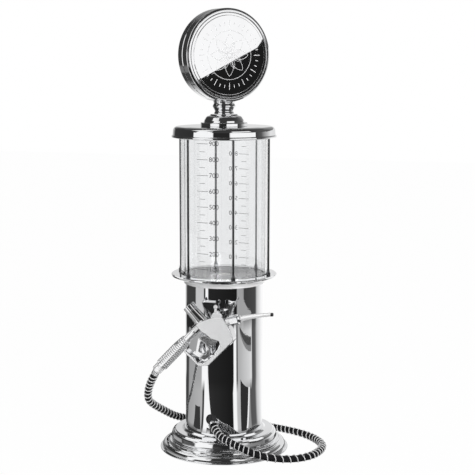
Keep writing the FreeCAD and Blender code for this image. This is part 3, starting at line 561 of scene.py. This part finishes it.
# colour, roughness where clean and where handled, height of the sheet's waves, share of metal
MIRROR = plated("mirror chrome", CHROME_COLOUR, 0.012, 0.05, 0.00012)
BASE_CHROME = plated("base chrome", CHROME_COLOUR, 0.03, 0.06, 0.00003)
DIAL = plated("dial mirror", (0.94, 0.942, 0.95, 1), 0.01, 0.03, 0.00001)
SMALL_CHROME = plated("small chrome", (0.92, 0.925, 0.935, 1), 0.03, 0.09, 0.00003)
BRIGHT = plated("bright plate", (0.95, 0.95, 0.955, 1), 0.14, 0.22, 0.00001, 0.45)
COLLAR_PLATE = plated("collar plate", (0.97, 0.97, 0.975, 1), 0.14, 0.22, 0.00001, 0.15)
# the rods are chrome; their colour is darkened as a painted dark reflection
ROD_CHROME_PAINTED_DARK = plated("rod chrome painted dark", (0.13, 0.132, 0.137, 1), 0.05, 0.10, 0.00001)
TRIGGER_PLATE = plated("trigger plate", GROUND_COLOUR, 0.10, 0.16, 0.00001, 0.92)
GRIP_PLATE = plated("grip plate", (0.95, 0.952, 0.96, 1), 0.09, 0.16, 0.00001, 0.8)
RIM_CHROME = plated("rim chrome", CHROME_COLOUR, 0.06, 0.10, 0.00002)
CASTING = gun_casting()
TRAY = tray_chrome()
# colour, roughness, and share of metal, shine or height of the grain
ETCHED = satin("etched line", (0.86, 0.862, 0.87, 1), 0.45, 0.3)
ZINC = satin("zinc plated steel", (0.70, 0.71, 0.73, 1), 0.30)
HOSE_RUBBER = rubber("hose rubber", (0.006, 0.006, 0.007, 1), 0.46, 0.22)
SEAL_RUBBER = rubber("seal rubber", (0.014, 0.014, 0.015, 1), 0.45)
TANK = clear_tank()
INK = ink()
IRON = plain("cast iron", (0.10, 0.10, 0.105, 1), 0.6, 0.0001)
SPOUT_PLATE = spout_plate()
ENAMEL = plain("black enamel", (0.018, 0.018, 0.019, 1), 0.4)
WHITE_PLASTIC = plain("white plastic", (0.82, 0.82, 0.80, 1), 0.35)
SOFT_TUBE = plain("soft clear tube", (0.70, 0.71, 0.69, 1), 0.3)

FINISHES = {
    BASE_CHROME: ["base_shell"],
    MIRROR: ["column_tube", "top_ring", "valve_cap", "lid_shell", "lid_plinth", "globe_stem",
             "globe_front_shell", "globe_rear_shell"],
    RIM_CHROME: ["front_bezel", "rear_bezel"],
    DIAL: ["front_dial", "rear_dial"],
    SMALL_CHROME: ["holster", "outlet_ferrule", "hanger_stud", "hose_ferrule", "spout_nut", "spout_ring"],
    BRIGHT: ["ball_stud", "hose_collar"],
    COLLAR_PLATE: ["column_collar"],
    SPOUT_PLATE: ["spout"],
    GRIP_PLATE: ["handle_tube", "grip"],
    ROD_CHROME_PAINTED_DARK: [f"rod_{k}" for k in range(1, 7)],
    TRIGGER_PLATE: ["trigger"],
    CASTING: ["gun_body"],
    TRAY: ["tray"],
    ZINC: ["base_screws", "tray_screws", "rod_screws", "holster_screws", "globe_screws", "stem_screw",
           "stem_nut", "outlet_nipple", "valve_plunger", "valve_spring", "trigger_pin"],
    TANK: ["tank"],
    SEAL_RUBBER: ["rest_pad", "outlet_grommet", "tank_lower_gasket", "tank_upper_gasket", "lid_seal",
                  "drain_seal", "valve_seal", "hose"],
    IRON: ["base_weight"],
    ENAMEL: ["base_cover"],
    WHITE_PLASTIC: ["lid_liner", "drain_fitting", "drain_nut"],
    SOFT_TUBE: ["feed_tube"],
}

for material, names in FINISHES.items():
    for name in names:
        finish(NODES[name], material)
finish(HOSE, HOSE_RUBBER)
finish(WIRE, BRIGHT)


# ---- printed scale on the tank, in millimetres and degrees ----------------------------------------
PRINT_R = TANK_R + 0.05
ZERO_Z = 188.5              # height that the scale counts from
PER_100 = 16.5
FIRST_MARK = 50             # millilitres
LAST_MARK = 900
TICK_ANGLE = -10.5
HUNDRED_TICK = (16.4, 0.45)     # degrees round the tank, and thickness
FIFTY_TICK = (8.6, 0.40)
TEN_TICK = (5.0, 0.10)
TEN_SHIFT = -5.6            # from the middle of the long lines to that of the hairlines
TICK_STEPS = 6
NUMERAL_ANGLE = 5.7
NUMERAL_SIZE = 7.0
NUMERAL_STEPS = 3


def on_tank(angle, z):
    """A point on the tank's outside, at a heading and a height in mm."""
    return heading(angle) * (PRINT_R * MM) + UP * (z * MM)


def add_tick(drawing, angle, size, z):
    """A printed line, bent round the tank."""
    width, thickness = size
    rows = []
    for k in range(TICK_STEPS + 1):
        here = angle - width / 2 + width * k / TICK_STEPS
        rows.append([drawing.verts.new(on_tank(here, z + side * thickness / 2)) for side in (-1, 1)])
    for (a, b), (c, d) in zip(rows, rows[1:]):
        drawing.faces.new((a, c, d, b))


def add_numeral(drawing, words, angle, z):
    """A number laid on the tank, middle at the angle and the height."""
    text = bpy.data.curves.new("numeral", "FONT")
    text.body = words
    text.size = NUMERAL_SIZE
    text.align_x = "CENTER"
    text.align_y = "CENTER"
    text.resolution_u = NUMERAL_STEPS
    carrier = bpy.data.objects.new("numeral", text)
    flat = bpy.data.meshes.new_from_object(carrier)
    degrees_per_mm = math.degrees(1 / TANK_R)
    placed = [drawing.verts.new(on_tank(angle + v.co.x * degrees_per_mm, z + v.co.y)) for v in flat.vertices]
    for face in flat.polygons:
        drawing.faces.new([placed[i] for i in face.vertices])
    bpy.data.objects.remove(carrier)


def printed_scale(name, turn):
    """Millilitre scale: long lines and numbers at the hundreds, short lines at the fifties, hairlines
    at the tens."""
    drawing = bmesh.new()
    middle = turn + TICK_ANGLE
    for mark in range(FIRST_MARK, LAST_MARK + 1, 10):
        z = ZERO_Z + mark * PER_100 / 100
        if mark % 100 == 0:
            add_tick(drawing, middle, HUNDRED_TICK, z)
            add_numeral(drawing, str(mark), turn + NUMERAL_ANGLE, z)
        elif mark % 50 == 0:
            add_tick(drawing, middle, FIFTY_TICK, z)
        else:
            add_tick(drawing, middle + TEN_SHIFT, TEN_TICK, z)
    piece = piece_drawn(name, drawing, INK)
    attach(piece, "stand")


printed_scale("front_scale", 0.0)
printed_scale("back_scale", 180.0)


# ---- etched dials, in millimetres from the dial's middle ------------------------------------------
LINE_HALF = 0.28            # half of an etched line's width at its foot
LINE_TOP = 0.6              # width of its top as a share of its foot
LINE_HIGH = 0.06
LINE_SUNK = 0.02            # how deep its foot stands in the dial
LEAVES = 8
LEAF_START = 2.5
LEAF_FULLNESS = 0.8         # the smaller, the fuller the leaf
LEAF_STEPS = 14
SHORT_LEAF_LINE = 0.8       # width of its line as a share of the others'
LONG_LEAF = (22.0, 4.6)     # reach, and half width
SHORT_LEAF = (15.0, 2.4)
MIDDLE_RING = (2.2, 24)     # radius, and how many points draw it
OUTER_RING = (25.5, 72)
BARS = 36
BAR_LINE = 1.5
LONG_BAR_EVERY = 3
LONG_BAR = (29.0, 36.0)     # inner and outer end
SHORT_BAR = (31.5, 34.5)


def dial_place(side):
    """The matrix from a dial's own plane (x right, y up, z out) to the frame."""
    out = heading(GLOBE_TURN + (0 if side > 0 else 180))
    right = UP.cross(out)
    place = Matrix((right, UP, out)).transposed().to_4x4()
    place.translation = UP * (GLOBE_Z * MM) + out * ((DIAL_FACE - LINE_SUNK) * MM)
    return place


def add_ribbon(drawing, place, line, half, closed):
    """A low raised line along flat points in mm."""
    count = len(line)
    rows = []
    for i, (x, y) in enumerate(line):
        before = line[i - 1] if closed or i > 0 else line[0]
        after = line[(i + 1) % count] if closed or i < count - 1 else line[-1]
        ahead = Vector((after[0] - before[0], after[1] - before[1])).normalized()
        side = Vector((-ahead.y, ahead.x)) * half
        corners = [(x + side.x * share, y + side.y * share, high)
                   for share, high in ((1, 0), (LINE_TOP, LINE_HIGH), (-LINE_TOP, LINE_HIGH), (-1, 0))]
        rows.append([drawing.verts.new(place @ mm(corner)) for corner in corners])
    pairs = list(zip(rows, rows[1:])) + ([(rows[-1], rows[0])] if closed else [])
    for near, far in pairs:
        for k in range(3):
            drawing.faces.new((near[k], near[k + 1], far[k + 1], far[k]))
    if not closed:
        drawing.faces.new(rows[0][::-1])
        drawing.faces.new(rows[-1])


def polar(radius, angle):
    return radius * math.cos(angle), radius * math.sin(angle)


def ring(radius, steps):
    return [polar(radius, 2 * math.pi * k / steps) for k in range(steps)]


def leaf(turn, reach, width):
    """A pointed leaf from near the middle out to its reach."""
    side = []
    for k in range(LEAF_STEPS):
        along = k / (LEAF_STEPS - 1)
        across = width * math.sin(math.pi * along) ** LEAF_FULLNESS
        side.append((LEAF_START + (reach - LEAF_START) * along, across))
    outline = side + [(x, -y) for x, y in side[-2:0:-1]]
    cos, sin = polar(1, turn)
    return [(x * cos - y * sin, x * sin + y * cos) for x, y in outline]


def etched_dial(name, side):
    """A plain rosette: long leaves with short ones between, two fine rings, and short bars round the rim."""
    drawing = bmesh.new()
    place = dial_place(side)
    for k in range(LEAVES):
        add_ribbon(drawing, place, leaf(2 * math.pi * k / LEAVES, *LONG_LEAF), LINE_HALF, True)
        add_ribbon(drawing, place, leaf(2 * math.pi * (k + 0.5) / LEAVES, *SHORT_LEAF),
                   LINE_HALF * SHORT_LEAF_LINE, True)
    for size in (MIDDLE_RING, OUTER_RING):
        add_ribbon(drawing, place, ring(*size), LINE_HALF, True)
    for k in range(BARS):
        ends = LONG_BAR if k % LONG_BAR_EVERY == 0 else SHORT_BAR
        bar = [polar(radius, 2 * math.pi * k / BARS) for radius in ends]
        add_ribbon(drawing, place, bar, LINE_HALF * BAR_LINE, False)
    piece = piece_drawn(name, drawing, ETCHED)
    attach(piece, "globe")


etched_dial("front_dial_design", 1)
etched_dial("rear_dial_design", -1)


# ---- studio ---------------------------------------------------------------------------------------
WHITE = (1, 1, 1, 1)
SOFT_LIGHT = 0.25           # the world's light on dull surfaces
FLOOR_HALF = 4.0
FLOOR_COLOUR = (0.92, 0.92, 0.92, 1)
FLOOR_ROUGHNESS = 0.8
FLOOR_SHINE = 0.1
FLOOR_GLOW = 0.985          # share of the floor that glows, so that shadows on it stay faint


def seen_plainly(tree):
    """1 for rays that should find the white of the studio: from the viewer, off metal, through the tank."""
    path = add(tree, "ShaderNodeLightPath").outputs
    seen = maths(tree, "MAXIMUM", path["Is Camera Ray"], path["Is Glossy Ray"])
    return maths(tree, "MAXIMUM", seen, path["Is Transmission Ray"])


def glow(tree, strength):
    return add(tree, "ShaderNodeEmission", {"Color": WHITE, "Strength": strength}).outputs[0]


def show(tree, surface):
    tree.links.new(surface, tree.nodes["Material Output"].inputs["Surface"])


def studio_world():
    world = bpy.data.worlds.new("studio")
    bpy.context.scene.world = world
    world.use_nodes = True
    tree = world.node_tree
    background = tree.nodes["Background"]
    background.inputs["Color"].default_value = WHITE
    strength = blend_values(tree, seen_plainly(tree), SOFT_LIGHT, 1.0)
    tree.links.new(strength, background.inputs["Strength"])


def studio_floor():
    corners = [(x * FLOOR_HALF, y * FLOOR_HALF, 0) for x, y in ((-1, -1), (1, -1), (1, 1), (-1, 1))]
    floor = piece_from("floor", corners, [(0, 1, 2, 3)], False)
    material, tree, shader = new_material("pale floor")
    shader.inputs["Base Color"].default_value = FLOOR_COLOUR
    shader.inputs["Roughness"].default_value = FLOOR_ROUGHNESS
    shader.inputs["Specular IOR Level"].default_value = FLOOR_SHINE
    mix = add(tree, "ShaderNodeMixShader", {0: maths(tree, "MULTIPLY", seen_plainly(tree), FLOOR_GLOW),
                                            1: shader.outputs[0], 2: glow(tree, 1.0)})
    show(tree, mix.outputs[0])
    finish(floor, material)


def glossy_only(piece):
    """Leave a stage piece to the reflections in polished surfaces."""
    piece.visible_camera = False
    piece.visible_diffuse = False
    piece.visible_shadow = False
    piece.visible_transmission = False


# Brightness of the surroundings that polished metal finds, as (angle, brightness) stops. The angles
# are from the camera's heading, positive to the right. The lists go from the floor by the base up.
BY_THE_BASE = [(-180, 0.5), (-150, 0.10), (-78, 0.06), (-74, 0.35), (-46, 0.45), (-44, 1.0), (-38, 1.0),
               (-36, 0.06), (8, 0.04), (11, 0.15), (60, 0.2), (100, 0.3), (130, 0.9), (180, 1.0)]
NEAR_FLOOR = [(-180, 0.6), (-157, 0.5), (-152, 0.04), (-127, 0.06), (-122, 0.36), (-64, 0.48), (-62, 0.04),
              (-58, 0.04), (-56, 1.0), (-47, 1.0), (-45, 0.03), (24, 0.01), (26, 1.0), (34, 1.0),
              (37, 0.55), (60, 0.40), (78, 0.30), (81, 0.10), (100, 0.11), (105, 0.38), (109, 0.6),
              (120, 0.75), (140, 1.0), (180, 1.0)]
MIDDLE_FLOOR = [(-180, 1.0), (-157, 0.8), (-143, 0.05), (-128, 0.06), (-121, 0.35), (-68, 0.40), (-65, 1.0),
                (-48, 1.0), (-46, 0.02), (26, 0.01), (28, 1.0), (34, 1.0), (36, 0.05), (38, 0.05),
                (40, 0.45), (86, 0.75), (89, 0.08), (103, 0.12), (107, 0.4), (111, 0.6), (120, 0.75),
                (140, 1.0), (180, 1.0)]
FAR_FLOOR = [(-180, 1.0), (-160, 0.8), (-140, 0.05), (-92, 0.05), (-90, 0.6), (-62, 0.6), (-60, 0.04),
             (-56, 0.04), (-55, 1.0), (-48, 1.0), (-46, 0.02), (36, 0.01), (39, 0.40), (57, 0.35),
             (60, 0.05), (103, 0.07), (107, 0.2), (111, 0.6), (120, 0.75), (140, 1.0), (180, 1.0)]
LOW_WALL = [(-180, 0.7), (-150, 0.2), (-66, 0.08), (-62, 1.0), (-28, 1.0), (-26, 0.22), (-6, 0.20),
            (-4, 0.03), (17, 0.03), (20, 1.0), (35, 1.0), (38, 0.3), (90, 0.2), (125, 0.9), (180, 1.0)]
WALL = [(-180, 0.75), (-155, 0.45), (-140, 0.04), (-71, 0.03), (-69, 1.0), (-25, 1.0), (-23, 0.02),
        (11, 0.02), (14, 1.0), (66, 1.0), (70, 0.04), (90, 0.1), (105, 0.4), (125, 0.8), (180, 0.75)]
SHOULDER = [(-180, 0.4), (-150, 0.04), (-66, 0.03), (-62, 1.0), (-36, 1.0), (-34, 0.05), (66, 0.05),
            (120, 0.10), (180, 0.4)]
HIGH_WALL = [(-180, 0.4), (-150, 0.04), (-66, 0.03), (-62, 1.0), (-28, 1.0), (-25, 0.04), (16, 0.04),
             (20, 1.0), (62, 1.0), (66, 0.06), (120, 0.10), (180, 0.4)]
CEILING = [(-180, 0.10), (-92, 0.04), (-88, 1.0), (-45, 0.8), (-42, 0.04), (80, 0.04), (180, 0.12)]
DRUM_R = 1.3
DRUM_TOP = 1.8
DRUM_LIFT = 0.0012          # keeps the drum off the floor
# (distance from the axis, height, brightness)
BELTS = [(0.072, 0.0, BY_THE_BASE), (0.115, 0.0, BY_THE_BASE),
         (0.14, 0.0, NEAR_FLOOR), (0.30, 0.0, NEAR_FLOOR),
         (0.36, 0.0, MIDDLE_FLOOR), (0.66, 0.0, MIDDLE_FLOOR),
         (0.80, 0.0, FAR_FLOOR), (DRUM_R, 0.0, FAR_FLOOR),
         (DRUM_R, 0.02, LOW_WALL), (DRUM_R, 0.14, LOW_WALL),
         (DRUM_R, 0.20, WALL), (DRUM_R, 0.54, WALL),
         (DRUM_R, 0.57, SHOULDER), (DRUM_R, 0.73, SHOULDER),
         (DRUM_R, 0.78, HIGH_WALL), (DRUM_R, 1.25, HIGH_WALL),
         (DRUM_R, 1.40, CEILING), (DRUM_R, DRUM_TOP, CEILING), (0.05, DRUM_TOP, CEILING)]


def surroundings():
    """A drum round the object, light and dark by direction."""
    angles = sorted({angle for _, _, stops in BELTS for angle, _ in stops})
    verts = []
    shades = []
    for radius, height, stops in BELTS:
        for angle in angles:
            verts.append(from_viewer(angle) * radius + UP * (height + DRUM_LIFT))
            shades.append(read_off(stops, angle))
    across = len(angles)
    faces = [(i * across + k, i * across + k + 1, (i + 1) * across + k + 1, (i + 1) * across + k)
             for i in range(len(BELTS) - 1) for k in range(across - 1)]
    drum = piece_from("surroundings", verts, faces, False)
    drum.data.attributes.new("shade", "FLOAT", "POINT").data.foreach_set("value", shades)
    material, tree, _ = new_material("surroundings")
    show(tree, glow(tree, add(tree, "ShaderNodeAttribute", attribute_name="shade").outputs["Fac"]))
    finish(drum, material)
    glossy_only(drum)


# ---- cards for the reflections --------------------------------------------------------------------
FLOOR_CARD_UP = 0.0024
ROOF_CARD_UP = 0.32
# brightness, and corners as (angle from the camera's heading, distance from the axis)
FLOOR_CARDS = {
    "left_wedge": (1.0, [(-47, 0.42), (-47, 0.14), (-30, 0.14), (-36, 0.20)]),
    "left_patch": (0.04, [(-88, 0.22), (-70, 0.22), (-64, 0.125), (-90, 0.125)]),
    "right_wedge": (0.03, [(47, 0.36), (73, 0.31), (61, 0.125), (45, 0.125)]),
    "right_strip": (0.95, [(73, 0.31), (78, 0.31), (66, 0.13), (61, 0.13)]),
    "right_lobe": (0.38, [(50, 0.79), (86, 0.79), (83, 0.81), (71, 0.84), (58, 0.92), (50, 1.0)]),
    "right_curve": (0.07, [(45.5, 0.697), (55, 0.654), (71, 0.623), (85, 0.608), (85, 0.552), (60.5, 0.583),
                           (45.5, 0.670)]),
    "right_fade": (0.24, [(45.5, 0.670), (60.5, 0.583), (85, 0.552), (85, 0.508), (62, 0.545), (46, 0.645)]),
    "left_dark": (0.02, [(-146, 0.66), (-120, 0.66), (-97, 0.66), (-97, 0.85), (-120, 0.85), (-146, 0.85)]),
    "spout_card": (1.0, [(-35.9, 0.64), (-30, 0.64), (-30, 0.82), (-35.9, 0.82)]),
}
ROOF_CARDS = {
    "left_roof": (1.0, [(-150, 0.17), (-110, 0.17), (-75, 0.17), (-75, 0.36), (-110, 0.36), (-150, 0.36)]),
    "right_roof": (1.0, [(90, 0.17), (120, 0.17), (150, 0.17), (150, 0.36), (120, 0.36), (90, 0.36)]),
}
STRIP_ANGLES = (-112, -91, -70)
STRIP_AWAY = 0.23
STRIP_HEIGHTS = (0.150, 0.215)
GRIP_CARD_Y = -0.10
GRIP_CARD = [(-0.0798, 0.0894), (-0.0571, 0.067), (-0.0116, 0.1131), (-0.0343, 0.1355)]     # x and z
WHITE_CARD_AWAY = 0.19
WHITE_CARD_HALF = 0.035
WHITE_CARD_HEIGHTS = (0.30, 0.3705)
DARK_CARD_EDGE = [(-62.0, -38.0), (33.0, 8.0), (41.5, 19.0), (62.0, 46.0)]  # right and up on the dial, mm
DARK_CARD_AWAY = 1.75       # the card's distance from the mirrored eye, where the dial's is 1
DARK_CARD_FOOT = 0.33
DARK_CARD_SHADE = 0.012


def glowing_card(name, corners, shade, one_sided=False):
    """A flat card of one brightness, left to the reflections. A one-sided card is clear from its back."""
    card = piece_from(name, corners, [tuple(range(len(corners)))], False)
    material, tree, _ = new_material(name)
    surface = glow(tree, shade)
    if one_sided:
        back = add(tree, "ShaderNodeNewGeometry").outputs["Backfacing"]
        clear = add(tree, "ShaderNodeBsdfTransparent").outputs[0]
        surface = add(tree, "ShaderNodeMixShader", {0: back, 1: surface, 2: clear}).outputs[0]
    show(tree, surface)
    finish(card, material)
    glossy_only(card)


def flat_cards(cards, height, one_sided):
    for name, (shade, corners) in cards.items():
        places = [from_viewer(angle) * radius + UP * height for angle, radius in corners]
        glowing_card(name, places, shade, one_sided)


def strip_card():
    """A white strip standing to the left, for the upper side of the grip."""
    foot, top = ([from_viewer(angle) * STRIP_AWAY + UP * height for angle in STRIP_ANGLES]
                 for height in STRIP_HEIGHTS)
    glowing_card("strip_card", foot + top[::-1], 1.0)


def grip_card():
    """A white card standing just before the grip and the handle tube, for their nearest side."""
    glowing_card("grip_card", [Vector((x, GRIP_CARD_Y, z)) for x, z in GRIP_CARD], 1.0)


def white_card():
    """A low white card by the lid, which keeps the dark card out of the lid's reflection."""
    out = heading(2 * GLOBE_TURN - VIEW_TURN)
    across = UP.cross(out) * WHITE_CARD_HALF
    low, high = WHITE_CARD_HEIGHTS
    corners = [out * WHITE_CARD_AWAY + across * side + UP * z
               for side, z in ((-1, low), (1, low), (1, high), (-1, high))]
    glowing_card("white_card", corners, 1.0)


def dial_card():
    """A dark card whose slanting top edge crosses the dial's reflection."""
    out = heading(GLOBE_TURN)
    right = UP.cross(out)
    middle = UP * (GLOBE_Z * MM) + out * (DIAL_FACE * MM)
    eye = bpy.context.scene.camera.location
    twin = eye - out * 2 * (eye - middle).dot(out)
    edge = []
    for x, y in DARK_CARD_EDGE:
        point = middle + (right * x + UP * y) * MM
        edge.append(twin + (point - twin) * DARK_CARD_AWAY)
    low = [Vector((point.x, point.y, DARK_CARD_FOOT)) for point in (edge[0], edge[-1])]
    glowing_card("dial_card", low + edge[::-1], DARK_CARD_SHADE)


# ---- lamps ----------------------------------------------------------------------------------------
LAMP_SIZE = 1.2
LAMP_AIM = Vector((0, 0, 0.2))
# place, and power in watts
LAMPS = {"lamp_front_right": ((1.3, -1.5, 0.9), 36), "lamp_top_left": ((-1.2, -0.6, 1.9), 3)}


def soft_lamp(name, place, power):
    data = bpy.data.lights.new(name, "AREA")
    data.size = LAMP_SIZE
    data.energy = power
    lamp = put(name, data)
    lamp.location = place
    lamp.rotation_euler = (LAMP_AIM - Vector(place)).to_track_quat("-Z", "Y").to_euler()
    lamp.visible_glossy = False


studio_world()
studio_floor()
surroundings()
flat_cards(FLOOR_CARDS, FLOOR_CARD_UP, False)
flat_cards(ROOF_CARDS, ROOF_CARD_UP, True)
strip_card()
grip_card()
white_card()
dial_card()
for name, (place, power) in LAMPS.items():
    soft_lamp(name, place, power)

bpy.context.scene.view_settings.view_transform = "Standard"
